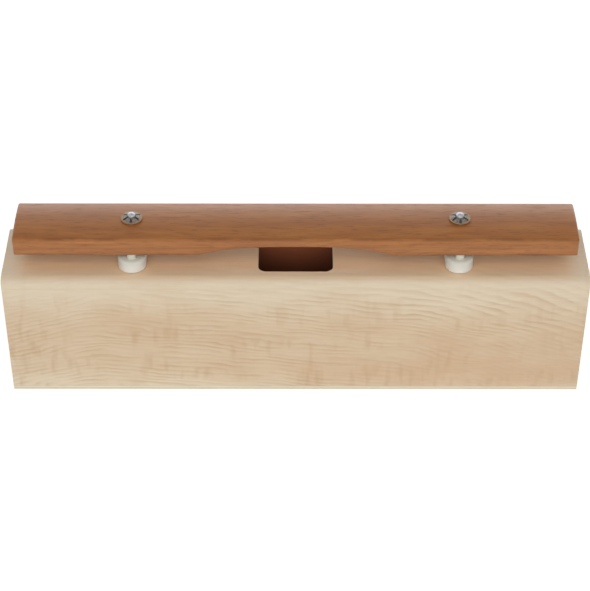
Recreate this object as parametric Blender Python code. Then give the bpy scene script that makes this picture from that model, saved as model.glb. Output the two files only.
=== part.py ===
"""A resonator bar: one tuned hardwood bar held over its own hollow maple box.

The origin is the middle of the box's underside. X runs along the bar, -Y is the front, Z is up.
Sizes are in metres.
"""

import math

import bmesh
import bpy
from mathutils import Matrix

# Box
BOX_LENGTH = 0.400
BOX_WIDTH = 0.0605
BOX_HEIGHT = 0.1005
WALL = 0.008
DECK = 0.008
BASE = 0.003
DECK_EDGE_RADIUS = 0.006
EASED_EDGE = 0.0006

# Sound hole in the deck
HOLE_LENGTH = 0.051
HOLE_LAND = 0.0018
HOLE_CORNER_RADIUS = 0.0055
HOLE_EASED_EDGE = 0.0008

# Tuned bar
BAR_LENGTH = 0.3814
BAR_WIDTH = 0.041
BAR_SIDE = 0.01375
BAR_CROWN = 0.0018
BAR_EDGE_RADIUS = 0.0012
ARCH_SPAN = 0.1315
ARCH_RISE = 0.00685
ARCH_POWER = 2.9
BAR_PLAY = 0.0005

# Pins, the blocks they are driven into, and the sleeves round them in the bar
PIN_SPACING = 0.2228
PIN_DIAMETER = 0.0055
PIN_DOME = 0.0018
PIN_ABOVE_TEETH = 0.0007
PIN_GRIP = 0.013
PIN_POINT = 0.001
PIN_BLOCK_LENGTH = 0.036
PIN_BLOCK_HEIGHT = 0.016
PIN_BLOCK_CHAMFER = 0.002
SLEEVE_WALL = 0.0015
SLEEVE_RECESS = 0.0005

# Moulded bridges: a long body with round ends and a rib that carries the bar
BRIDGE_WIDTH = 0.019
BRIDGE_HEIGHT = 0.0091
BRIDGE_LEDGE = 0.0038
BRIDGE_CORNER_RADIUS = 0.0088
BRIDGE_EDGE_RADIUS = 0.002
BRIDGE_FOOT_EASE = 0.0005
RIB_WIDTH = 0.006
RIB_HEIGHT = 0.0037
RIB_INSET = 0.001
RIB_CORNER_RADIUS = 0.002
RIB_EDGE_RADIUS = 0.001

# Star rings
RING_DIAMETER = 0.0148
RING_THICKNESS = 0.0005
TOOTH_LENGTH = 0.0032
TOOTH_RISE = 0.0012
TOOTH_COUNT = 6
TOOTH_SLOT = 0.0015

# Clearances
GLUE_GAP = 0.0003
SEAT_GAP = 0.0003
FIT_GAP = 0.0003

# Facets
ROUND_SIDES = 48
CORNER_STEPS = 8
CROWN_STEPS = 16
ARCH_STEPS = 24
EDGE_STEPS = 4
CUT_MARGIN = 0.002
SMOOTH_BELOW = math.radians(35)

# Heights and places that follow from the sizes above
WALL_BOTTOM = BASE + GLUE_GAP
WALL_TOP = BOX_HEIGHT - DECK - GLUE_GAP
INNER_WIDTH = BOX_WIDTH - 2 * WALL
HOLE_WIDTH = INNER_WIDTH - 2 * HOLE_LAND
RIB_TOP = BOX_HEIGHT + SEAT_GAP + BRIDGE_HEIGHT + RIB_HEIGHT
BAR_BOTTOM = RIB_TOP + SEAT_GAP
BAR_THICKNESS = BAR_SIDE + BAR_CROWN
RING_BOTTOM = BAR_BOTTOM + BAR_THICKNESS + BAR_PLAY + SEAT_GAP
PIN_FOOT = WALL_TOP - PIN_GRIP
PIN_SHOULDER = RING_BOTTOM + RING_THICKNESS + TOOTH_RISE + PIN_ABOVE_TEETH
PIN_HOLE_RADIUS = PIN_DIAMETER / 2 + FIT_GAP
SLEEVE_RADIUS = PIN_HOLE_RADIUS + SLEEVE_WALL
PIN_SIDES = (("left", -PIN_SPACING / 2), ("right", PIN_SPACING / 2))


def linear(value):
    """One sRGB channel, 0 to 1, as the linear value that a shader takes."""
    return value / 12.92 if value <= 0.04045 else ((value + 0.055) / 1.055) ** 2.4


def material(name, colour, roughness, metallic=0.0):
    """A Principled material; colour is an sRGB hex string."""
    made = bpy.data.materials.new(name)
    made.use_nodes = True
    shader = made.node_tree.nodes["Principled BSDF"]
    channels = [linear(int(colour[i:i + 2], 16) / 255) for i in (0, 2, 4)]
    shader.inputs["Base Color"].default_value = (*channels, 1.0)
    shader.inputs["Roughness"].default_value = roughness
    shader.inputs["Metallic"].default_value = metallic
    return made


def add_object(name, mesh, surface=None, location=(0, 0, 0)):
    """Put a mesh in the scene as a named object."""
    made = bpy.data.objects.new(name, mesh)
    made.location = location
    bpy.context.scene.collection.objects.link(made)
    if surface and not mesh.materials:
        mesh.materials.append(surface)
    return made


def mesh_from(name, shape):
    """Turn a bmesh into a mesh whose faces point out, smooth where its facets are nearly level."""
    bmesh.ops.recalc_face_normals(shape, faces=shape.faces)
    mesh = bpy.data.meshes.new(name)
    shape.to_mesh(mesh)
    shape.free()
    mesh.shade_smooth()
    mesh.set_sharp_from_angle(angle=SMOOTH_BELOW)
    return mesh


def loft(sections):
    """Extrude the first outline through all the others, which have as many points."""
    shape = bmesh.new()
    first = shape.faces.new([shape.verts.new(point) for point in sections[0]])
    last = first
    for section in sections[1:]:
        extruded = bmesh.ops.extrude_face_region(shape, geom=[last])
        face = next(part for part in extruded["geom"] if isinstance(part, bmesh.types.BMFace))
        for vert, point in zip(face.verts, section):
            vert.co = point
        if last is not first:
            bmesh.ops.delete(shape, geom=[last], context="FACES_ONLY")
        last = face
    bmesh.ops.recalc_face_normals(shape, faces=shape.faces)
    return shape


def turned(profile, sides=ROUND_SIDES):
    """Spin a closed (radius, height) outline, or one that starts and ends on the axis, about Z."""
    shape = bmesh.new()
    verts = [shape.verts.new((radius, 0, height)) for radius, height in profile]
    on_axis = profile[0][0] == 0 and profile[-1][0] == 0
    ends = [] if on_axis else [shape.edges.new((verts[-1], verts[0]))]
    edges = [shape.edges.new(pair) for pair in zip(verts, verts[1:])]
    bmesh.ops.spin(shape, geom=verts + edges + ends, cent=(0, 0, 0), axis=(0, 0, 1),
                   angle=2 * math.pi, steps=sides, use_merge=True)
    bmesh.ops.remove_doubles(shape, verts=shape.verts, dist=1e-7)
    return shape


def board(size, eased=None, ease=EASED_EDGE):
    """A flat board centred on its origin; eased(edge_middle) picks the edges to take off."""
    shape = bmesh.new()
    bmesh.ops.create_cube(shape, size=1.0, matrix=Matrix.Diagonal((*size, 1.0)))
    if eased:
        picked = [edge for edge in shape.edges if eased((edge.verts[0].co + edge.verts[1].co) / 2)]
        bmesh.ops.bevel(shape, geom=picked, offset=ease, offset_type="OFFSET", segments=2,
                        profile=0.5, affect="EDGES", clamp_overlap=True)
    return shape


def cylinder(radius, bottom, top, x=0.0):
    """A round cutter standing on the XY plane at x."""
    shape = bmesh.new()
    bmesh.ops.create_cone(shape, cap_ends=True, segments=ROUND_SIDES, radius1=radius, radius2=radius,
                          depth=top - bottom, matrix=Matrix.Translation((x, 0, (bottom + top) / 2)))
    return shape


def cut(name, shape, cutters):
    """Take each cutter out of a shape and return what is left as a mesh."""
    body = add_object(name, mesh_from(name, shape))
    tools = [add_object("cutter", mesh_from("cutter", cutter)) for cutter in cutters]
    for tool in tools:
        difference = body.modifiers.new("cut", "BOOLEAN")
        difference.operation = "DIFFERENCE"
        difference.solver = "EXACT"
        difference.object = tool
    evaluated = body.evaluated_get(bpy.context.evaluated_depsgraph_get())
    result = bmesh.new()
    result.from_mesh(evaluated.to_mesh())
    evaluated.to_mesh_clear()
    for used in [body, *tools]:
        bpy.data.objects.remove(used)
    return mesh_from(name, result)


def arc(centre_u, centre_v, radius, start, end, steps):
    """Points along a round stretch, in two coordinates; angles in degrees."""
    angles = [math.radians(start + (end - start) * step / steps) for step in range(steps + 1)]
    return [(centre_u + radius * math.cos(a), centre_v + radius * math.sin(a)) for a in angles]


def rounded_rectangle(length, width, radius, height):
    """A level outline along X and Y with round corners."""
    x = length / 2 - radius
    y = width / 2 - radius
    corners = ((x, y, 0), (-x, y, 90), (-x, -y, 180), (x, -y, 270))
    flat = [point for u, v, turn in corners for point in arc(u, v, radius, turn, turn + 90, CORNER_STEPS)]
    return [(u, v, height) for u, v in flat]


def rounded_edge(radius):
    """Inset and drop of each step of a quarter-round edge, from the side up to the top."""
    turns = [math.pi / 2 * step / EDGE_STEPS for step in range(EDGE_STEPS + 1)]
    return [(radius * (1 - math.cos(turn)), radius * (1 - math.sin(turn))) for turn in turns]


# Front and back panels stand between the base and the deck; their outer upright corners are eased

def add_long_walls(maple):
    size = (BOX_LENGTH, WALL, WALL_TOP - WALL_BOTTOM)
    middle = (WALL_BOTTOM + WALL_TOP) / 2
    for name, side in (("front_panel", -1), ("back_panel", 1)):
        def outer_corner(point, side=side):
            return abs(point.x) > size[0] / 4 and point.y * side > size[1] / 4 and abs(point.z) < size[2] / 4
        mesh = mesh_from(name, board(size, outer_corner))
        add_object(name, mesh, maple, (0, side * (BOX_WIDTH - WALL) / 2, middle))


# End panels are glued between the long walls

def add_end_walls(maple):
    size = (WALL, INNER_WIDTH - 2 * GLUE_GAP, WALL_TOP - WALL_BOTTOM)
    middle = (WALL_BOTTOM + WALL_TOP) / 2
    mesh = mesh_from("end_panel", board(size))
    for name, side in (("left_end_panel", -1), ("right_end_panel", 1)):
        add_object(name, mesh, maple, (side * (BOX_LENGTH - WALL) / 2, 0, middle))


# The base is a thin board under all four walls, flush with them

def add_base(plywood):
    size = (BOX_LENGTH, BOX_WIDTH, BASE)

    def outer_edge(point):
        upright = abs(point.z) < size[2] / 4
        return upright or point.z < 0
    mesh = mesh_from("bottom_panel", board(size, outer_edge))
    add_object("bottom_panel", mesh, plywood, (0, 0, BASE / 2))


# The deck covers the walls: its long upper edges are rounded, and it has the sound hole and pin holes

def deck_outline(x, inset):
    half = BOX_WIDTH / 2 - inset
    top = DECK - inset
    radius = DECK_EDGE_RADIUS
    right = arc(half - radius, top - radius, radius, 0, 90, CORNER_STEPS)
    left = arc(radius - half, top - radius, radius, 90, 180, CORNER_STEPS)
    outline = [(-half, 0), (half, 0), *right, *left]
    return [(x, y, z) for y, z in outline]


def add_deck(maple):
    end = BOX_LENGTH / 2
    ends = ((-end, EASED_EDGE), (EASED_EDGE - end, 0), (end - EASED_EDGE, 0), (end, EASED_EDGE))
    blank = loft([deck_outline(x, inset) for x, inset in ends])
    levels = ((-CUT_MARGIN, 0), (DECK - HOLE_EASED_EDGE, 0), (DECK, HOLE_EASED_EDGE),
              (DECK + CUT_MARGIN, HOLE_EASED_EDGE))
    sound_hole = loft([
        rounded_rectangle(HOLE_LENGTH + 2 * flare, HOLE_WIDTH + 2 * flare, HOLE_CORNER_RADIUS + flare, z)
        for z, flare in levels
    ])
    pin_holes = [cylinder(PIN_HOLE_RADIUS, -CUT_MARGIN, DECK + CUT_MARGIN, x) for _, x in PIN_SIDES]
    mesh = cut("top_panel", blank, [sound_hole, *pin_holes])
    add_object("top_panel", mesh, maple, (0, 0, BOX_HEIGHT - DECK))


# A block under the deck holds each pin in a blind hole

def add_pin_blocks(maple):
    size = (PIN_BLOCK_LENGTH, INNER_WIDTH - 2 * GLUE_GAP, PIN_BLOCK_HEIGHT)

    def lower_cross_edge(point):
        return point.z < 0 and abs(point.x) > size[0] / 4
    top = PIN_BLOCK_HEIGHT / 2
    hole = cylinder(PIN_HOLE_RADIUS, top - PIN_GRIP - SEAT_GAP, top + CUT_MARGIN)
    mesh = cut("pin_block", board(size, lower_cross_edge, PIN_BLOCK_CHAMFER), [hole])
    for side, x in PIN_SIDES:
        add_object("pin_block_" + side, mesh, maple, (x, 0, WALL_TOP - top))


# Each pin is a steel rod with a chamfered foot and a domed head

def add_pins(steel):
    radius = PIN_DIAMETER / 2
    length = PIN_SHOULDER - PIN_FOOT
    dome_radius = (radius ** 2 + PIN_DOME ** 2) / (2 * PIN_DOME)
    dome_angle = math.degrees(math.asin((dome_radius - PIN_DOME) / dome_radius))
    dome = arc(0, length + PIN_DOME - dome_radius, dome_radius, 90, dome_angle, CORNER_STEPS)
    profile = [(0, length + PIN_DOME), *dome[1:], (radius, PIN_POINT), (radius - PIN_POINT, 0), (0, 0)]
    mesh = mesh_from("pin", turned(profile))
    for side, x in PIN_SIDES:
        add_object("pin_" + side, mesh, steel, (x, 0, PIN_FOOT))


# Bridges lie across the deck; a rib along each one carries the bar on its still line

def add_bridges(white_rubber):
    rib_length = BAR_WIDTH - 2 * RIB_INSET
    length = rib_length + 2 * BRIDGE_LEDGE
    foot = [(BRIDGE_FOOT_EASE, 0), (0, BRIDGE_FOOT_EASE)]
    shoulder = [(inset, BRIDGE_HEIGHT - drop) for inset, drop in rounded_edge(BRIDGE_EDGE_RADIUS)]
    body = [rounded_rectangle(BRIDGE_WIDTH - 2 * inset, length - 2 * inset, BRIDGE_CORNER_RADIUS - inset, z)
            for inset, z in foot + shoulder]
    top = BRIDGE_HEIGHT + RIB_HEIGHT
    crest = [(0, BRIDGE_HEIGHT)] + [(inset, top - drop) for inset, drop in rounded_edge(RIB_EDGE_RADIUS)]
    rib = [rounded_rectangle(RIB_WIDTH - 2 * inset, rib_length - 2 * inset, RIB_CORNER_RADIUS - inset, z)
           for inset, z in crest]
    hole = cylinder(PIN_HOLE_RADIUS, -CUT_MARGIN, top + CUT_MARGIN)
    mesh = cut("bridge", loft(body + rib), [hole])
    for side, x in PIN_SIDES:
        add_object("bridge_" + side, mesh, white_rubber, (x, 0, BOX_HEIGHT + SEAT_GAP))


# The bar: crowned across its top, with an arch under its middle that tunes it

def arch_height(x):
    """How far the underside is cut away at x."""
    share = abs(x) / (ARCH_SPAN / 2)
    return ARCH_RISE * (1 - share ** ARCH_POWER) if share < 1 else 0.0


def bar_outline(x):
    half = BAR_WIDTH / 2
    crown_radius = (half ** 2 + BAR_CROWN ** 2) / (2 * BAR_CROWN)
    edge_angle = math.degrees(math.acos(half / crown_radius))
    crown = arc(0, BAR_THICKNESS - crown_radius, crown_radius, edge_angle, 180 - edge_angle, CROWN_STEPS)
    floor = arch_height(x)
    return [(x, y, z) for y, z in [(-half, floor), (half, floor), *crown]]


def add_bar(hardwood):
    end = BAR_LENGTH / 2
    arch = [ARCH_SPAN * (step / ARCH_STEPS - 0.5) for step in range(ARCH_STEPS + 1)]
    blank = loft([bar_outline(x) for x in [-end, *arch, end]])
    corners = [edge for edge in blank.edges if edge.calc_face_angle() > SMOOTH_BELOW]
    bmesh.ops.bevel(blank, geom=corners, offset=BAR_EDGE_RADIUS, offset_type="OFFSET",
                    segments=EDGE_STEPS, profile=0.5, affect="EDGES", clamp_overlap=True)
    holes = [cylinder(SLEEVE_RADIUS + FIT_GAP, -CUT_MARGIN, BAR_THICKNESS + CUT_MARGIN, x)
             for _, x in PIN_SIDES]
    mesh = cut("tone_bar", blank, holes)
    return add_object("tone_bar", mesh, hardwood, (0, 0, BAR_BOTTOM))


# A soft sleeve sits in each hole of the bar and moves with it

def add_sleeves(bar, dark_rubber):
    inner = PIN_HOLE_RADIUS
    low = SLEEVE_RECESS
    high = BAR_THICKNESS - SLEEVE_RECESS
    profile = [(SLEEVE_RADIUS, high), (SLEEVE_RADIUS, low), (inner, low), (inner, high)]
    mesh = mesh_from("sleeve", turned(profile))
    for side, x in PIN_SIDES:
        sleeve = add_object("sleeve_" + side, mesh, dark_rubber, (x, 0, 0))
        sleeve.parent = bar


# Star rings: sprung washers whose teeth lean up and grip the pin

def add_star_rings(steel):
    tip = PIN_HOLE_RADIUS
    root = tip + TOOTH_LENGTH
    rim = RING_DIAMETER / 2
    profile = [(rim, RING_THICKNESS), (rim, 0), (root, 0), (tip, TOOTH_RISE),
               (tip, TOOTH_RISE + RING_THICKNESS), (root, RING_THICKNESS)]
    slots = []
    for tooth in range(TOOTH_COUNT):
        slot = board((TOOTH_LENGTH, TOOTH_SLOT, TOOTH_RISE * 4))
        bmesh.ops.translate(slot, verts=slot.verts, vec=(root - TOOTH_LENGTH / 2 - FIT_GAP, 0, TOOTH_RISE))
        turn = Matrix.Rotation(2 * math.pi * (tooth + 0.5) / TOOTH_COUNT, 3, "Z")
        bmesh.ops.rotate(slot, verts=slot.verts, cent=(0, 0, 0), matrix=turn)
        slots.append(slot)
    mesh = cut("star_ring", turned(profile), slots)
    for side, x in PIN_SIDES:
        add_object("star_ring_" + side, mesh, steel, (x, 0, RING_BOTTOM))


for old in list(bpy.data.objects):
    bpy.data.objects.remove(old)

maple_wood = material("maple", "D3BC98", 0.45)
birch_plywood = material("birch plywood", "DED5C3", 0.6)
bar_hardwood = material("bar hardwood", "9A6A48", 0.38)
bridge_rubber = material("white rubber", "E4E3DD", 0.5)
sleeve_rubber = material("dark rubber", "2B2725", 0.7)
pin_steel = material("pin steel", "C9CDD2", 0.2, 1.0)
ring_steel = material("spring steel", "B4B2AC", 0.32, 1.0)

add_long_walls(maple_wood)
add_end_walls(maple_wood)
add_base(birch_plywood)
add_deck(maple_wood)
add_pin_blocks(maple_wood)
add_pins(pin_steel)
add_bridges(bridge_rubber)
tone_bar = add_bar(bar_hardwood)
add_sleeves(tone_bar, sleeve_rubber)
add_star_rings(ring_steel)
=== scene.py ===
import math

import bmesh
import bpy
from mathutils import Matrix, Vector


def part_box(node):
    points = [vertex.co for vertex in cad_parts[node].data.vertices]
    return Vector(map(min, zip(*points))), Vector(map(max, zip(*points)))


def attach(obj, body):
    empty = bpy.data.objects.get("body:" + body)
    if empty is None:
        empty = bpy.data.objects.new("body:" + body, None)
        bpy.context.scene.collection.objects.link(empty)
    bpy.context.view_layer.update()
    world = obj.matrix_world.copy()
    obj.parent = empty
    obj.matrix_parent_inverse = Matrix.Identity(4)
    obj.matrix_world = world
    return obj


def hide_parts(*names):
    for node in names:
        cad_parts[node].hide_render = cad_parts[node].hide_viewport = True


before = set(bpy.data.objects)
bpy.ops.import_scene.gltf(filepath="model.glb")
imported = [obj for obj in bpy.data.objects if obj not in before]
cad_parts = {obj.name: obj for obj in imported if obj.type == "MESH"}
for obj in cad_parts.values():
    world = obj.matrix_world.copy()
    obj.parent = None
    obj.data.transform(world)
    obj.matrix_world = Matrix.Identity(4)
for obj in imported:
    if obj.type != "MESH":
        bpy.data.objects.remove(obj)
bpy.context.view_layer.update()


# The long walls of the box are planed maple boards, 8 mm thick, with the grain along the box. They are
# butt glued to the ends, the deck and the base, sanded flush and sprayed with a clear satin lacquer.

MM = 0.001
MAPLE_PALE = "DDCDB3"
MAPLE_TAN = "D0B392"
MAPLE_LINE = "B8946C"
# The tan painted under the bar as its shade and red bounce light
MAPLE_UNDER_BAR_SHADE = "DCB68C"
# The dark red-brown painted inside the box as its shade and red bounce light, the slack of its mask, and the
# heights over which it is painted darker downwards
INSIDE_PAINTED_SHADE = "7A4630"
INSIDE_SLACK = 0.05 * MM
INSIDE_SHADE_HEIGHTS = (64 * MM, 86 * MM)

# The slopes of the growth lines at the left, in the middle and at the right, each with its shift in mm,
# how softly they bend into each other, and how far in mm the slow and the small waves move them
GRAIN_RUNS = ((0.29, 40.0), (-0.11, -15.2), (-0.33, 4.6))
GRAIN_BEND = 8.0
SLOW_WAVE = 12.0
SMALL_WAVE = 3.2

# The width of a year in mm, low and high on the board, with a shift in years that lets the wide ones
# take over about 80 mm up, and how softly they do
YEAR_LOW = 3.8
YEAR_HIGH = 6.5
YEAR_SHIFT = 8.74
YEAR_BEND = 2.0

# The heights in mm from and to which a look comes in or fades, and below them the same along or across
LINES_PIVOT = 57.0
LINES_FADE = (82.0, 95.0)
HEARTWOOD = (90.0, 58.0)
FLAME = (88.0, 55.0)
# Where the painted shade on the rounded edge comes in and where it ends
ROUND_SHADE_STARTS = (94.5, 98.0)
ROUND_SHADE_ENDS = (99.6, 100.3)
# The painted shade under the bar: the heights over which it comes in, and where it fades along and across
UNDER_BAR_HEIGHTS = (97.0, 100.4)
UNDER_BAR_ENDS = (184.0, 195.0)
UNDER_BAR_EDGES = (16.0, 25.0)
FLAME_AT_LEFT = (-120.0, -170.0)


def linear(colour):
    """The linear colour of an sRGB hex value, for a shader's socket."""
    channels = [int(colour[start:start + 2], 16) / 255 for start in (0, 2, 4)]
    return [c / 12.92 if c <= 0.04045 else ((c + 0.055) / 1.055) ** 2.4 for c in channels] + [1.0]


def add(tree, kind, inputs, stops=(), **settings):
    """Add a shader node and give back its outputs. An input is a value or another node's output."""
    node = tree.nodes.new("ShaderNode" + kind)
    for name, value in settings.items():
        setattr(node, name, value)
    for socket, value in inputs.items():
        if isinstance(value, bpy.types.NodeSocket):
            tree.links.new(value, node.inputs[socket])
        else:
            node.inputs[socket].default_value = value
    for index, (position, colour) in enumerate(stops):
        element = node.color_ramp.elements[index] if index < 2 else node.color_ramp.elements.new(position)
        element.position = position
        element.color = linear(colour)
    return node.outputs


def calc(tree, operation, *values, **settings):
    """A sum on values or on other nodes' outputs."""
    return add(tree, "Math", dict(enumerate(values)), operation=operation, **settings)[0]


def ranged(tree, value, given, wanted=(0.0, 1.0), **settings):
    """A value carried over from the range it is given in to the range wanted, and held at its ends."""
    ends = {1: given[0], 2: given[1], 3: wanted[0], 4: wanted[1]}
    return add(tree, "MapRange", {0: value, **ends}, **settings)[0]


def blend(tree, share, first, second):
    """A colour between two others, each a hex value, a linear colour or a node's output."""
    first, second = [linear(colour) if isinstance(colour, str) else colour for colour in (first, second)]
    return add(tree, "Mix", {0: share, 6: first, 7: second}, data_type="RGBA")[2]


def dim(tree, colour, amount):
    """A colour made lighter or darker by a factor."""
    return add(tree, "VectorMath", {0: colour, "Scale": amount}, operation="SCALE")[0]


def noise(tree, mm, size, detail, shift=(0, 0, 0), **extra):
    """Soft noise with spots of a size in mm along, across and up the piece."""
    scale = [1 / length for length in size]
    place = add(tree, "Mapping", {"Vector": mm, "Location": shift, "Scale": scale})[0]
    return add(tree, "TexNoise", {"Vector": place, "Scale": 1.0, "Detail": detail, **extra})["Fac"]


def new_material(name):
    """An empty material with its node tree and its shader."""
    material = bpy.data.materials.new(name)
    material.use_nodes = True
    return material, material.node_tree, material.node_tree.nodes["Principled BSDF"]


def coat(tree, shader, colour, roughness):
    """Give a shader its colour and its roughness."""
    tree.links.new(colour, shader.inputs["Base Color"])
    tree.links.new(roughness, shader.inputs["Roughness"])


def emboss(tree, shader, pattern, strength, depth, **settings):
    """Let a pattern stand out of a surface by a depth in mm."""
    bump = {"Height": pattern, "Strength": strength, "Distance": depth * MM}
    tree.links.new(add(tree, "Bump", bump, **settings)[0], shader.inputs["Normal"])


def dress(material, *names):
    """Give CAD pieces a material in place of the plain one that they come with."""
    for name in names:
        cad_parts[name].data.materials.clear()
        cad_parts[name].data.materials.append(material)


inner_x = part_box("right_end_panel")[0].x
inner_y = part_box("back_panel")[0].y
inner_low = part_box("bottom_panel")[1].z
inner_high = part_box("top_panel")[0].z
INSIDE = Vector((inner_x, inner_y, (inner_high - inner_low) / 2)) + Vector((INSIDE_SLACK,) * 3)
INSIDE_MIDDLE = (inner_high + inner_low) / 2


def maple(name, turn=0.0, shift=(0.0, 0.0, 0.0)):
    """Hard maple under satin lacquer: thin wavy growth lines, a silky fibre and a faint flame."""
    material, tree, shader = new_material(name)
    place = add(tree, "TexCoord", {})["Object"]
    mm = add(tree, "Mapping", {"Vector": place, "Location": shift, "Rotation": (0, 0, turn),
                               "Scale": (1 / MM,) * 3})[0]
    along, across, height = add(tree, "SeparateXYZ", {0: mm})

    # The growth lines rise from the left end, crest, sink slowly along the middle and faster to the right
    rise, sink, drop = [calc(tree, "MULTIPLY_ADD", along, slope, middle) for slope, middle in GRAIN_RUNS]
    crest = calc(tree, "SMOOTH_MIN", rise, sink, GRAIN_BEND)
    sweep = calc(tree, "SMOOTH_MIN", crest, drop, GRAIN_BEND)
    level = calc(tree, "SUBTRACT", height, sweep)
    level = calc(tree, "ADD", level, across)

    # Slow waves of 60 mm and small ones of 13 mm bend each line
    slow = noise(tree, mm, (60, 24, 20), 1.0)
    level = calc(tree, "MULTIPLY_ADD", slow, SLOW_WAVE, level)
    small = noise(tree, mm, (13, 5, 5), 2.0)
    level = calc(tree, "MULTIPLY_ADD", small, SMALL_WAVE, level)

    # The years are narrow low on the board and wide high on it, and each ends in a thin tan line that
    # fades in and out along the board
    close = calc(tree, "MULTIPLY", level, 1 / YEAR_LOW)
    wide = calc(tree, "MULTIPLY_ADD", level, 1 / YEAR_HIGH, YEAR_SHIFT)
    ring = calc(tree, "SMOOTH_MIN", close, wide, YEAR_BEND)
    ring = calc(tree, "FRACT", ring)
    ring = add(tree, "ValToRGB", {0: ring},
               [(0.0, "000000"), (0.30, "0A0A0A"), (0.86, "FFFFFF"), (1.0, "000000")])[0]
    fade = ranged(tree, noise(tree, mm, (30, 8, 8), 1.0), (0.36, 0.64), (0.06, 0.5))
    line = calc(tree, "MULTIPLY", ring, fade)
    # They show best low on the left and high on the right, less by the upper edge and hardly on the deck
    corner = calc(tree, "SUBTRACT", height, LINES_PIVOT)
    corner = calc(tree, "MULTIPLY", corner, along)
    corner = ranged(tree, corner, (-4000.0, 500.0), (0.3, 1.0))
    line = calc(tree, "MULTIPLY", line, corner)
    line = calc(tree, "MULTIPLY", line, ranged(tree, height, LINES_FADE, (1.0, 0.25)))

    # The board has pale sapwood along its upper edge and tan heartwood below, deepest low on the right
    # and lighter again low on the left. Along the foot it is paler still, lighter wood with painted light
    # from the floor's bounce. Clouds 60 mm long break it up
    heartwood_and_foot_light = ranged(tree, height, HEARTWOOD, (0.0, 0.65), interpolation_type="SMOOTHSTEP")
    for slope, start, full, amount in ((-0.2, 50.0, -18.0, 0.35),
                                       (0.2, 20.0, -18.0, -0.3),
                                       # Paler along the foot: lighter wood with painted floor bounce light
                                       (0.0, 20.0, 5.0, -0.45)):
        lower = calc(tree, "MULTIPLY_ADD", along, slope, height)
        heartwood_and_foot_light = calc(tree, "ADD", heartwood_and_foot_light, ranged(tree, lower, (start, full), (0.0, amount)))
    cloud = noise(tree, mm, (60, 40, 25), 4.0, Roughness=0.65)
    cloud = ranged(tree, cloud, (0.3, 0.7), (-0.35, 0.35))
    heartwood_and_foot_light = calc(tree, "ADD", heartwood_and_foot_light, cloud, use_clamp=True)
    body = blend(tree, heartwood_and_foot_light, MAPLE_PALE, MAPLE_TAN)

    # The flat of the deck is painted a warmer, darker tan under the bar, a painted shade with the bar's red
    # bounce light in it, least at the ends and edges that the bar leaves free
    # This mask paints the shade and red bounce light under the bar
    oiled = ranged(tree, height, UNDER_BAR_HEIGHTS)
    for way, reach, left in ((along, UNDER_BAR_ENDS, 0.3), (across, UNDER_BAR_EDGES, 0.48)):
        kept = ranged(tree, calc(tree, "ABSOLUTE", way), reach, (1.0, left))
        oiled = calc(tree, "MULTIPLY", oiled, kept)
    body = blend(tree, oiled, body, MAPLE_UNDER_BAR_SHADE)
    body = blend(tree, line, body, MAPLE_LINE)

    # Patches of tan flame bars, 6 mm wide, stand across the lines, mostly low on the board and at its
    # left end
    flame = ranged(tree, noise(tree, mm, (6, 40, 24), 1.0), (0.50, 0.75), (0.0, 0.42))
    patch = calc(tree, "ADD", ranged(tree, along, FLAME_AT_LEFT, (0.0, 0.2)), slow)
    flame = calc(tree, "MULTIPLY", flame, ranged(tree, patch, (0.44, 0.62)))
    flame = calc(tree, "MULTIPLY", flame, ranged(tree, height, FLAME, (0.15, 1.0)))
    body = blend(tree, flame, body, MAPLE_LINE)

    # The rounded edge is painted a shade darker, a painted shade that damps the light it catches from the
    # lamp in front
    cut = ranged(tree, height, ROUND_SHADE_STARTS, (1.0, 0.9))
    cut = ranged(tree, height, ROUND_SHADE_ENDS, (cut, 1.0))
    body = dim(tree, body, cut)

    # The fibre is drawn 0.9 mm wide to show
    fibre = noise(tree, mm, (16, 0.9, 0.9), 3.0)
    shade = ranged(tree, fibre, (0.3, 0.7), (0.967, 1.033))
    body = dim(tree, body, shade)

    # The faces towards the air inside the box are painted a dark red-brown in place of the lacquer, a painted
    # shade with the bar's red bounce light in it, painted darker again lower down and lighter under the deck
    x, y, z = add(tree, "SeparateXYZ", {0: place})
    inside_shade = calc(tree, "COMPARE", x, 0.0, INSIDE.x)
    for way, centre, reach in ((y, 0.0, INSIDE.y), (z, INSIDE_MIDDLE, INSIDE.z)):
        inside_shade = calc(tree, "MULTIPLY", inside_shade, calc(tree, "COMPARE", way, centre, reach))
    # The painted shade inside is darkest low down and lightest up under the deck
    thin = calc(tree, "MULTIPLY", ranged(tree, z, INSIDE_SHADE_HEIGHTS, (0.75, 1.9)), shade)
    body = blend(tree, inside_shade, body, dim(tree, linear(INSIDE_PAINTED_SHADE)[:3], thin))

    coat(tree, shader, body, ranged(tree, fibre, (0.3, 0.7), (0.30, 0.42)))
    emboss(tree, shader, calc(tree, "SUBTRACT", fibre, line), 0.2, 0.03)
    return material


long_grain = maple("lacquered maple")
dress(long_grain, "front_panel", "back_panel")


# The end walls are maple off the same board, cut to fit between the long walls, with the grain across
# the box. They are glued in flush with the ends of the long walls.

cross_grain = maple("lacquered maple, grain across", math.radians(90), (40.0, 25.0, -5.0))
dress(cross_grain, "left_end_panel", "right_end_panel")


# The base is a sheet of three-ply birch, 3 mm thick, glued under the four walls and sanded flush. Its
# raw edge shows as a paler strip along the foot of the box.

BIRCH_FACE = "E6DDCC"
BIRCH_CORE = "D5C4A8"
PLY = 1.0


def in_mm(tree):
    """The place on a piece in millimetres."""
    place = add(tree, "TexCoord", {})["Object"]
    return add(tree, "Mapping", {"Vector": place, "Scale": (1 / MM,) * 3})[0]


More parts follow.
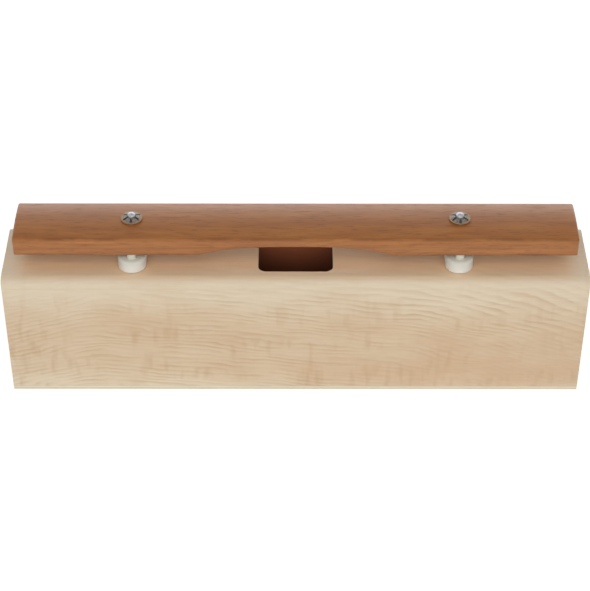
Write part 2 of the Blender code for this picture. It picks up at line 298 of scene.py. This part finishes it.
# Sanded birch gives a dry, pale strip. Its middle ply shows end grain, a little darker than the two faces
birch_plywood, tree, shader = new_material("sanded birch plywood")
mm = in_mm(tree)
height = add(tree, "SeparateXYZ", {0: mm})[2]
core = calc(tree, "COMPARE", height, 1.5 * PLY, 0.5 * PLY)
wave = noise(tree, mm, (40, 6, 1.2), 4.0)
body = blend(tree, core, BIRCH_FACE, BIRCH_CORE)
body = dim(tree, body, ranged(tree, wave, (0.3, 0.7), (0.92, 1.05)))
coat(tree, shader, body, ranged(tree, wave, (0.3, 0.7), (0.5, 0.68)))
emboss(tree, shader, wave, 0.3, 0.05)
dress(birch_plywood, "bottom_panel")


# The deck is a maple board glued on the four walls, with its two long edges rounded over by a router
# and a sound hole with round corners cut in its middle. Each pin passes through a hole in it.

DECK_ROUND = 6 * MM
DECK_EASE = 0.6 * MM
HOLE_LENGTH = 51 * MM
HOLE_WIDTH = 40.9 * MM
HOLE_CORNER = 5.5 * MM
HOLE_EASE = 0.8 * MM
FIT_GAP = 0.3 * MM
TINY = 0.01 * MM
ROUND_STEPS = 16
EASE_STEPS = 3
TURN_STEPS = 64
SHARP = math.radians(32)


def block(low, high, shape=None):
    """A rectangular block between two corners, in a bmesh of its own or added to a given one."""
    if shape is None:
        shape = bmesh.new()
    low, high = Vector(low), Vector(high)
    bmesh.ops.create_cube(shape, size=1.0, matrix=Matrix.LocRotScale((low + high) / 2, None, high - low))
    return shape


def round_edges(shape, edges, radius, steps):
    """Round edges over to a radius, in a number of steps."""
    bmesh.ops.bevel(shape, geom=edges, offset=radius, offset_type="OFFSET", segments=steps, profile=0.5,
                    affect="EDGES", material=-1, clamp_overlap=False)


def uprights(shape):
    """The edges of a block that stand upright."""
    return [edge for edge in shape.edges if abs(edge.verts[0].co.z - edge.verts[1].co.z) > TINY]


def quarter(section, out, up, steps=6):
    """The sections of a quarter round that starts upright, each half width, half depth, corner and height."""
    sections = []
    for step in range(steps + 1):
        turn = math.radians(90) * step / steps
        grown = out * (1 - math.cos(turn))
        sections.append((*(size + grown for size in section[:3]), section[3] + up * math.sin(turn)))
    return sections


def grow(shape, sections):
    """Extrude the face with round corners that lies at the first section through all the others."""
    face = next(face for face in shape.faces if len(face.verts) > 4
                and abs(face.calc_center_median().z - sections[0][3]) < TINY)
    for before, after in zip(sections, sections[1:]):
        made = bmesh.ops.extrude_face_region(shape, geom=[face])["geom"]
        bmesh.ops.delete(shape, geom=[face], context="FACES_ONLY")
        face = next(item for item in made if isinstance(item, bmesh.types.BMFace) and len(item.verts) > 4)
        for vert in face.verts:
            old, new = [Vector((math.copysign(half_width - corner, vert.co.x),
                                math.copysign(half_depth - corner, vert.co.y)))
                        for half_width, half_depth, corner, _ in (before, after)]
            flat = new + (vert.co.xy - old) * after[2] / before[2]
            vert.co = (flat.x, flat.y, after[3])


def drill(x, radius, low, high):
    """A round cutter that stands upright at x, from 1 mm below a piece to 1 mm above it."""
    shape = bmesh.new()
    bmesh.ops.create_cone(shape, cap_ends=True, segments=TURN_STEPS, radius1=radius, radius2=radius,
                          depth=high - low + 2 * MM, matrix=Matrix.Translation((x, 0, (low + high) / 2)))
    return shape


def piece(name, shape, cutters, material, body, slot, *nodes):
    """Make a shape a piece of the object: cut it, shade it, and say where it rides and what it stands for."""
    bmesh.ops.recalc_face_normals(shape, faces=shape.faces)
    mesh = bpy.data.meshes.new(name)
    shape.to_mesh(mesh)
    shape.free()
    made = bpy.data.objects.new(name, mesh)
    bpy.context.collection.objects.link(made)
    tools = []
    for cutter in cutters:
        bmesh.ops.recalc_face_normals(cutter, faces=cutter.faces)
        tool = bpy.data.objects.new("cutter", bpy.data.meshes.new("cutter"))
        cutter.to_mesh(tool.data)
        cutter.free()
        bpy.context.collection.objects.link(tool)
        modifier = made.modifiers.new("cut", "BOOLEAN")
        modifier.object = tool
        modifier.solver = "EXACT"
        tools.append(tool)
    if tools:
        final = bpy.data.meshes.new_from_object(made.evaluated_get(bpy.context.evaluated_depsgraph_get()))
        made.modifiers.clear()
        made.data = final
        final.name = name
    for tool in tools:
        bpy.data.objects.remove(tool)
    made.data.materials.clear()
    made.data.materials.append(material)
    made.data.shade_smooth()
    made.data.set_sharp_from_angle(angle=SHARP)
    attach(made, body)
    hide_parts(*nodes)
    return made


pin_low, pin_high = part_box("pin_right")
PIN_X = (pin_low.x + pin_high.x) / 2
PIN_RADIUS = (pin_high.x - pin_low.x) / 2
PIN_HOLE = PIN_RADIUS + FIT_GAP
PINS = (("left", -PIN_X), ("right", PIN_X))

deck_low, deck_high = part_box("top_panel")
deck = block(deck_low, deck_high)
long_edges = [edge for edge in deck.edges if all(v.co.z > deck_high.z - TINY for v in edge.verts)
              and abs(edge.verts[0].co.y - edge.verts[1].co.y) < TINY]
round_edges(deck, long_edges, DECK_ROUND, ROUND_STEPS)
end_edges = [edge for edge in deck.edges if all(abs(v.co.x) > deck_high.x - TINY for v in edge.verts)
             and abs(edge.verts[0].co.x - edge.verts[1].co.x) < TINY
             and max(v.co.z for v in edge.verts) > deck_low.z + TINY]
round_edges(deck, end_edges, DECK_EASE, EASE_STEPS)

hole_x, hole_y = HOLE_LENGTH / 2, HOLE_WIDTH / 2
ease_z = deck_high.z - HOLE_EASE
hole = block((-hole_x, -hole_y, deck_low.z - MM), (hole_x, hole_y, ease_z))
round_edges(hole, uprights(hole), HOLE_CORNER, ROUND_STEPS)
rim = quarter((hole_x, hole_y, HOLE_CORNER, ease_z), HOLE_EASE, HOLE_EASE)
grow(hole, [*rim, (*rim[-1][:3], deck_high.z + MM)])
pin_holes = [drill(x, PIN_HOLE, deck_low.z, deck_high.z) for _, x in PINS]
piece("deck", deck, [hole, *pin_holes], long_grain, "box", "maple", "top_panel")


# The pin blocks are offcuts of maple glued under the deck inside the box, so that each pin has enough
# wood to be driven into.

block_grain = maple("raw maple offcut", 0.0, (70.0, 33.0, -20.0))
dress(block_grain, "pin_block_left", "pin_block_right")


# The joints of the box are filled by hairlines of wood glue, sanded flush with the boards, so that
# the grain seems to run on over them.

GLUE_LIGHT = "DFD0B6"
GLUE_DARK = "D6C3A4"
GLUE_SETBACK = 0.06 * MM
GLUE_SLACK = 0.02 * MM

# Dry glue gives a smooth hairline of nearly the maple's own tone, with smears about 6 mm long
wood_glue, tree, shader = new_material("sanded wood glue")
smear = noise(tree, in_mm(tree), (6, 6, 6), 4.0)
body = blend(tree, ranged(tree, smear, (0.3, 0.7)), GLUE_LIGHT, GLUE_DARK)
coat(tree, shader, body, ranged(tree, smear, (0.3, 0.7), (0.35, 0.5)))
emboss(tree, shader, smear, 0.2, 0.02)


def span(side, near, far):
    """The two ends of a stretch on one side of the middle, the lower one first."""
    return sorted((side * near, side * far))


front_low, front_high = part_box("front_panel")
end_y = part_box("right_end_panel")[1].y
outer_x = front_high.x - GLUE_SETBACK
outer_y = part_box("back_panel")[1].y - GLUE_SETBACK
between_y = inner_y - GLUE_SLACK
seams = bmesh.new()
for low_z, high_z in ((inner_low, front_low.z), (front_high.z, inner_high)):
    low_z += GLUE_SLACK
    high_z -= GLUE_SLACK
    for side in (-1, 1):
        near_y, far_y = span(side, inner_y, outer_y)
        block((-outer_x, near_y, low_z), (outer_x, far_y, high_z), seams)
        near_x, far_x = span(side, inner_x, outer_x)
        block((near_x, -between_y, low_z), (far_x, between_y, high_z), seams)
for side_x in (-1, 1):
    for side_y in (-1, 1):
        near_x, far_x = span(side_x, inner_x, outer_x)
        near_y, far_y = span(side_y, end_y + GLUE_SLACK, between_y)
        block((near_x, near_y, front_low.z), (far_x, far_y, front_high.z), seams)
piece("glue_lines", seams, [], wood_glue, "box", "maple")


# The pins are turned steel rods with a domed head, plated bright. They are driven through the deck
# into the pin blocks, and pass up through the bridges and the bar, which they keep in its place.

STEEL_BRIGHT = "DADCE0"
STEEL_DULL = "BEC1C6"
TURNING_MARK = 0.5
PIN_DOME = 1.8 * MM
PIN_POINT = 1.0 * MM
DOME_STEPS = 12


def from_pin(tree, mm):
    """The distance in mm from the axis of the nearer pin."""
    along, across, _ = add(tree, "SeparateXYZ", {0: mm})
    offset = calc(tree, "SUBTRACT", calc(tree, "ABSOLUTE", along), PIN_X / MM)
    flat = add(tree, "CombineXYZ", {0: offset, 1: across})[0]
    return add(tree, "VectorMath", {0: flat}, operation="LENGTH")["Value"]


# Plating that age has dulled gives the dome one soft light, over faint turning marks round its axis
plated_steel, tree, shader = new_material("bright plated steel")
mm = in_mm(tree)
marks = calc(tree, "SINE", calc(tree, "MULTIPLY", from_pin(tree, mm), 2 * math.pi / TURNING_MARK))
spots = noise(tree, mm, (0.8, 0.8, 0.8), 3.0)
body = blend(tree, ranged(tree, spots, (0.35, 0.65)), STEEL_BRIGHT, STEEL_DULL)
coat(tree, shader, body, ranged(tree, spots, (0.3, 0.7), (0.42, 0.54)))
emboss(tree, shader, marks, 0.15, 0.01)
shader.inputs["Metallic"].default_value = 1.0


def turned(profile, x):
    """A solid turned about an upright axis at x, from a profile of radius and height pairs."""
    shape = bmesh.new()
    verts = [shape.verts.new((r, 0, z)) for r, z in profile]
    edges = [shape.edges.new(pair) for pair in zip(verts, verts[1:])]
    bmesh.ops.spin(shape, geom=verts + edges, axis=(0, 0, 1), cent=(0, 0, 0), angle=2 * math.pi,
                   steps=TURN_STEPS, use_merge=True)
    bmesh.ops.remove_doubles(shape, verts=shape.verts, dist=TINY / 10)
    bmesh.ops.translate(shape, verts=shape.verts, vec=(x, 0, 0))
    return shape


pin_profile = [(0, pin_low.z), (PIN_RADIUS - PIN_POINT, pin_low.z), (PIN_RADIUS, pin_low.z + PIN_POINT)]
for step in range(DOME_STEPS):
    angle = math.radians(90) * step / DOME_STEPS
    dome_z = pin_high.z - PIN_DOME + PIN_DOME * math.sin(angle)
    pin_profile.append((PIN_RADIUS * math.cos(angle), dome_z))
pin_profile.append((0, pin_high.z))
for side, x in PINS:
    piece("pin_" + side + "_turned", turned(pin_profile, x), [], plated_steel,
          "box", "pin_steel", "pin_" + side)


# The bridges are moulded in soft white rubber. Each is a long block with round ends and a narrow rib on
# top, threaded over its pin, and the bar rests on the two ribs at its still points.

RUBBER_WHITE = "F0EDE6"
RUBBER_SHADE = "E2DED4"
# The grey painted on the bridges as the bar's shade, and the heights over which it comes in
RUBBER_PAINTED_SHADE = "CCCABD"
RUBBER_SHADE_HEIGHTS = (101.5, 109.5)
BRIDGE_BODY = 9.1 * MM
BRIDGE_CORNER = 8.8 * MM
BRIDGE_ROUND = 2 * MM
BRIDGE_FOOT = 0.5 * MM
RIB_WIDTH = 6 * MM
RIB_LENGTH = 39 * MM
RIB_CORNER = 2 * MM
RIB_ROUND = 1 * MM
RIB_FILLET = 0.4 * MM

# Soft rubber gives a milky white with light in its depth. It is painted greyer from near the foot up to the
# ledge, a painted shade for the bar's shadow over it, and the spark eroded mould has left a grain of about
# 0.4 mm
white_rubber, tree, shader = new_material("moulded white rubber")
mm = in_mm(tree)
bloom = noise(tree, mm, (6, 6, 6), 3.0)
body = blend(tree, ranged(tree, bloom, (0.3, 0.7)), RUBBER_WHITE, RUBBER_SHADE)
height = add(tree, "SeparateXYZ", {0: mm})[2]
# Painted shade: greyer towards the top, under the bar
body = blend(tree, ranged(tree, height, RUBBER_SHADE_HEIGHTS), body, RUBBER_PAINTED_SHADE)
coat(tree, shader, body, ranged(tree, bloom, (0.3, 0.7), (0.42, 0.58)))
emboss(tree, shader, noise(tree, mm, (0.4, 0.4, 0.4), 2.0), 0.2, 0.03)
shader.inputs["Subsurface Weight"].default_value = 0.15
shader.inputs["Subsurface Radius"].default_value = (1.0, 0.9, 0.75)
shader.inputs["Subsurface Scale"].default_value = 1.5 * MM

for side, x in PINS:
    low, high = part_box("bridge_" + side)
    half_width = (high.x - low.x) / 2
    foot = low.z + BRIDGE_FOOT
    ledge = low.z + BRIDGE_BODY
    bridge = block((-half_width, low.y, foot), (half_width, high.y, ledge - BRIDGE_ROUND))
    round_edges(bridge, uprights(bridge), BRIDGE_CORNER, ROUND_STEPS)
    outline = (half_width, high.y, BRIDGE_CORNER)
    rib = (RIB_WIDTH / 2, RIB_LENGTH / 2, RIB_CORNER)
    shoulder = quarter((*outline, ledge - BRIDGE_ROUND), -BRIDGE_ROUND, BRIDGE_ROUND)
    fillet = quarter((*rib, ledge + RIB_FILLET), RIB_FILLET, -RIB_FILLET)[::-1]
    crest = quarter((*rib, high.z - RIB_ROUND), -RIB_ROUND, RIB_ROUND)
    grow(bridge, [*shoulder, *fillet, *crest])
    grow(bridge, quarter((*outline, foot), -BRIDGE_FOOT, -BRIDGE_FOOT))
    bmesh.ops.translate(bridge, verts=bridge.verts, vec=(x, 0, 0))
    bore = drill(x, PIN_HOLE, low.z, high.z)
    piece("bridge_" + side + "_moulded", bridge, [bore], white_rubber,
          "box", "white_rubber", "bridge_" + side)


# The bar is one length of dense red-brown hardwood. Its top is planed to a slight crown, its edges
# are eased by hand, and an arch is milled in its underside until it sounds its note. It is oiled.

BAR_LIGHT = "B17339"
BAR_MID = "A46732"
BAR_DARK = "995C2C"
BAR_PORE = "5A3318"
BAR_CROWN = 1.8 * MM
BAR_EASE = 1.2 * MM
BAR_EASE_STEPS = 4
BAR_CUTS_ALONG = 120
BAR_CUTS_ACROSS = 23
ARCH_SPAN = 131.5 * MM
ARCH_RISE = 6.85 * MM
ARCH_POWER = 2.9
STREAK_HEIGHT = 119.8
SIDE_ENDS = (127.4, 128.6)

bar_low, bar_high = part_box("tone_bar")
# The eased edges that are darkened: the upper ones with dark dashes and painted shade, the lower ones with
# painted shade
edges_dashed_and_shaded = ((bar_high.z - BAR_CROWN, 0.6), (bar_low.z, 0.75))

# Oiled hardwood gives a warm red-brown with a low sheen. Bands of lighter and darker wood run along the
# bar, 6 mm wide on its top and 3 mm on its sides
oiled_hardwood, tree, shader = new_material("oiled red-brown hardwood")
mm = in_mm(tree)
_, across, height = add(tree, "SeparateXYZ", {0: mm})
band = noise(tree, mm, (45, 6, 3.2), 3.0, (3.3, 0, 0), Distortion=0.4)
body = add(tree, "ValToRGB", {0: band}, [(0.22, BAR_DARK), (0.76, BAR_LIGHT), (0.48, BAR_MID)])[0]
# The years lie flat in the bar, so that its sides show them as streaks about 1 mm thick, the darkest
# halfway up
# On the whole the streaks also leave the sides about 5 % darker than the top, a painted shade
years_and_side_shade = ranged(tree, noise(tree, mm, (70, 40, 1.1), 2.0), (0.35, 0.65), (-0.12, 0.02))
halfway = calc(tree, "ABSOLUTE", calc(tree, "SUBTRACT", height, STREAK_HEIGHT))
years_and_side_shade = calc(tree, "ADD", years_and_side_shade, ranged(tree, halfway, (0.2, 1.1), (-0.08, 0.0)))
on_side = ranged(tree, height, SIDE_ENDS, (1.0, 0.0))
body = dim(tree, body, calc(tree, "MULTIPLY_ADD", years_and_side_shade, on_side, 1.0))
# Open pores are dark dashes about 9 mm long, drawn about 1 mm wide to show
pore = ranged(tree, noise(tree, mm, (9, 1.1, 0.8), 2.0), (0.54, 0.72), (0.0, 0.42))
# The eased long edges darken in dashes 16 mm long. On the upper edges these are dark wood and also a painted
# shade that damps the sheen the edge would catch; on the lower edges they are a painted shade where the edges
# face the dark gap over the deck
dash = ranged(tree, noise(tree, mm, (16, 8, 8), 3.0), (0.40, 0.58), (0.2, 1.0))
section_place = add(tree, "CombineXYZ", {0: calc(tree, "ABSOLUTE", across), 1: height})[0]
for edge_height, amount in edges_dashed_and_shaded:
    edge = (bar_high.y / MM, edge_height / MM, 0)
    from_edge = add(tree, "VectorMath", {0: section_place, 1: edge}, operation="DISTANCE")["Value"]
    edge_dashes_and_shade = calc(tree, "MULTIPLY", ranged(tree, from_edge, (0.3, 2.1), (amount, 0.0)), dash)
    pore = calc(tree, "MAXIMUM", pore, edge_dashes_and_shade)
body = blend(tree, pore, body, BAR_PORE)
coat(tree, shader, body, ranged(tree, pore, (0.0, 0.4), (0.34, 0.5)))
emboss(tree, shader, pore, 0.3, 0.05, invert=True)

bar = block(bar_low, bar_high)
for axis, cuts in ((0, BAR_CUTS_ALONG), (1, BAR_CUTS_ACROSS)):
    runs = [edge for edge in bar.edges if abs(edge.verts[0].co[axis] - edge.verts[1].co[axis]) > TINY]
    bmesh.ops.subdivide_edges(bar, edges=runs, cuts=cuts, use_grid_fill=True)
for vert in bar.verts:
    if vert.co.z > bar_high.z - TINY:
        vert.co.z -= BAR_CROWN * (vert.co.y / bar_high.y) ** 2
    else:
        share = min(1.0, abs(vert.co.x) / (ARCH_SPAN / 2))
        vert.co.z += ARCH_RISE * (1 - share ** ARCH_POWER)
bar.normal_update()
corners = [edge for edge in bar.edges if edge.calc_face_angle() > SHARP]
round_edges(bar, corners, BAR_EASE, BAR_EASE_STEPS)
sleeve_low, sleeve_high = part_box("sleeve_right")
bar_hole = (sleeve_high.x - sleeve_low.x) / 2 + FIT_GAP
bores = [drill(x, bar_hole, bar_low.z, bar_high.z) for _, x in PINS]
piece("bar", bar, bores, oiled_hardwood, "bar", "bar_hardwood", "tone_bar")


# The sleeves are short lengths of black rubber tube pressed into the bar's two holes, so that the
# wood never buzzes against a pin. Their black is painted a light grey, painted light that lifts the shade in
# the rings' slots.

# The greys painted on the black tube as light in the rings' slots
TUBE_PAINTED_LIGHT = "716C67"
TUBE_PAINTED_LIGHT_SPOTS = "8A847E"

# The tube is painted a matt grey, mottled in spots of about 1.5 mm, a painted light that lifts the shade
# where it shows in the rings' slots
black_rubber, tree, shader = new_material("black rubber tube")
bloom = noise(tree, in_mm(tree), (1.5, 1.5, 1.5), 3.0)
body = blend(tree, ranged(tree, bloom, (0.35, 0.65)), TUBE_PAINTED_LIGHT, TUBE_PAINTED_LIGHT_SPOTS)
coat(tree, shader, body, ranged(tree, bloom, (0.3, 0.7), (0.6, 0.75)))
dress(black_rubber, "sleeve_left", "sleeve_right")


# The star rings are stamped from zinc plated spring steel. Their six teeth bend upwards and bite
# the pin, so that each is pushed on by hand and can't come back.

ZINC_LIGHT = "ADA89F"
ZINC_DARK = "938E87"
ZINC_WARM_GREY = "AE947F"
ZINC_WARM_RADII = (4.9, 6.9)
RING_THICKNESS = 0.5 * MM
RING_SOFT = 0.15 * MM
TOOTH_LENGTH = 3.2 * MM
TOOTH_RISE = 1.2 * MM
TOOTH_SLOT = 1.5 * MM
TOOTH_COUNT = 6

# Zinc plate gives a dull grey metal in soft spots, which turns a warmer brown-grey towards the outer rim
zinc_plate, tree, shader = new_material("zinc plated spring steel")
mm = in_mm(tree)
spots = noise(tree, mm, (1.2, 1.2, 1.2), 4.0)
body = blend(tree, ranged(tree, spots, (0.35, 0.65)), ZINC_LIGHT, ZINC_DARK)
body = blend(tree, ranged(tree, from_pin(tree, mm), ZINC_WARM_RADII), body, ZINC_WARM_GREY)
coat(tree, shader, body, ranged(tree, spots, (0.3, 0.7), (0.58, 0.72)))
emboss(tree, shader, spots, 0.2, 0.03)
shader.inputs["Metallic"].default_value = 1.0

for side, x in PINS:
    low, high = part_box("star_ring_" + side)
    rim = (high.x - low.x) / 2
    root = PIN_HOLE + TOOTH_LENGTH
    face_z = low.z + RING_THICKNESS
    section = [(rim - RING_SOFT, low.z), (root, low.z), (PIN_HOLE, low.z + TOOTH_RISE),
               (PIN_HOLE, face_z + TOOTH_RISE), (root, face_z),
               (rim - RING_SOFT, face_z), (rim, face_z - RING_SOFT), (rim, low.z + RING_SOFT)]
    ring = turned([*section, section[0]], x)
    slots = []
    for tooth in range(TOOTH_COUNT):
        slot = block((PIN_HOLE - MM, -TOOTH_SLOT / 2, low.z - MM), (root, TOOTH_SLOT / 2, high.z + MM))
        turn = Matrix.Rotation(2 * math.pi * (tooth + 0.5) / TOOTH_COUNT, 3, "Z")
        bmesh.ops.rotate(slot, verts=slot.verts, cent=(0, 0, 0), matrix=turn)
        bmesh.ops.translate(slot, verts=slot.verts, vec=(x, 0, 0))
        slots.append(slot)
    piece("star_ring_" + side + "_stamped", ring, slots, zinc_plate,
          "box", "spring_steel", "star_ring_" + side)


# The photograph's studio: a white floor that runs up behind into a white wall, a tall soft lamp in front,
# a low lamp behind, a panel behind that shows only as sheen, and a long lens that looks down at 40 degrees.

FLOOR_WHITE = "F2F1EE"
FLOOR_SIZE = 4.0
FLOOR_LIFT = 0.56
WHITE = (1, 1, 1, 1)
AMBIENT = (0.27, 0.27, 0.27, 1)

# Matt paper gives an even white that keeps the object's shadow. It is lifted to white only where it is seen
studio_floor, tree, shader = new_material("white studio paper")
fibres = noise(tree, in_mm(tree), (3, 3, 3), 3.0)
tree.links.new(ranged(tree, fibres, (0.3, 0.7), (0.8, 0.95)), shader.inputs["Roughness"])
shader.inputs["Base Color"].default_value = linear(FLOOR_WHITE)
shader.inputs["Emission Color"].default_value = WHITE
rays = add(tree, "LightPath", {})
seen = calc(tree, "MAXIMUM", rays["Is Camera Ray"], rays["Is Glossy Ray"])
seen = calc(tree, "MAXIMUM", seen, rays["Is Transmission Ray"])
tree.links.new(calc(tree, "MULTIPLY", seen, FLOOR_LIFT), shader.inputs["Emission Strength"])
ground = bmesh.new()
bmesh.ops.create_grid(ground, x_segments=1, y_segments=1, size=FLOOR_SIZE)
floor = bpy.data.objects.new("floor", bpy.data.meshes.new("floor"))
ground.to_mesh(floor.data)
ground.free()
floor.data.materials.append(studio_floor)
bpy.context.collection.objects.link(floor)

# The camera sees white. A glossy surface sees the bright wall behind, a grey ceiling over it, and pale
# walls overhead and in front; the ramp runs from the horizon behind over the top to the horizon in front
world = bpy.data.worlds.new("white studio")
world.use_nodes = True
tree = world.node_tree
_, depth, up = add(tree, "SeparateXYZ", {0: add(tree, "TexCoord", {})["Generated"]})
turn = calc(tree, "DIVIDE", calc(tree, "ARCTAN2", up, depth), math.pi)
mirrored = add(tree, "ValToRGB", {0: turn},
               [(0.12, "FFFFFF"), (1.0, "E0E0E0"), (0.20, "F4F4F4"), (0.27, "BCBCBC"),
                (0.33, "9A9A9A"), (0.42, "9A9A9A"), (0.50, "E0E0E0")])[0]
rays = add(tree, "LightPath", {})
seen = calc(tree, "MAXIMUM", rays["Is Camera Ray"], rays["Is Transmission Ray"])
shown = blend(tree, seen, blend(tree, rays["Is Glossy Ray"], AMBIENT, mirrored), WHITE)
tree.links.new(shown, tree.nodes["Background"].inputs["Color"])
bpy.context.scene.world = world

# Each lamp's place, width and depth in metres, its power in watts, and whether it shows only as sheen
LAMPS = (("front lamp", (0.0, -1.75, 1.6), 3.0, 2.0, 45.0, False),
         ("low lamp behind", (0.0, 2.2, 0.16), 3.0, 0.26, 22.0, False),
         ("panel behind", (0.0, 1.6, 0.60), 2.6, 0.5, 10.0, True))
LAMP_AIM = Vector((0, 0, 0.08))
for name, place, width, depth, power, sheen_only in LAMPS:
    lamp = bpy.data.lights.new(name, "AREA")
    lamp.shape = "RECTANGLE"
    lamp.size = width
    lamp.size_y = depth
    lamp.energy = power
    stand = bpy.data.objects.new(name, lamp)
    stand.location = place
    stand.rotation_euler = (LAMP_AIM - stand.location).to_track_quat("-Z", "Y").to_euler()
    stand.visible_camera = False
    stand.visible_glossy = sheen_only
    stand.visible_diffuse = not sheen_only
    bpy.context.collection.objects.link(stand)

CAMERA_PLACE = Vector((-0.00288, -0.99186, 0.88797))
CAMERA_PITCH = math.radians(39.790)
CAMERA_YAW = math.radians(0.146)
CAMERA_ROLL = math.radians(0.147)
FOCAL_PIXELS = 1837.9
PICTURE_WIDTH = 590
SENSOR = 36.0
camera = bpy.data.objects.new("camera", bpy.data.cameras.new("camera"))
camera.data.sensor_fit = "HORIZONTAL"
camera.data.sensor_width = SENSOR
camera.data.lens = FOCAL_PIXELS * SENSOR / PICTURE_WIDTH
camera.matrix_world = (Matrix.Translation(CAMERA_PLACE)
                       @ Matrix.Rotation(-CAMERA_YAW, 4, "Z")
                       @ Matrix.Rotation(math.pi / 2 - CAMERA_PITCH, 4, "X")
                       @ Matrix.Rotation(CAMERA_ROLL, 4, "Z"))
bpy.context.collection.objects.link(camera)
bpy.context.scene.camera = camera
bpy.context.scene.view_settings.view_transform = "Standard"
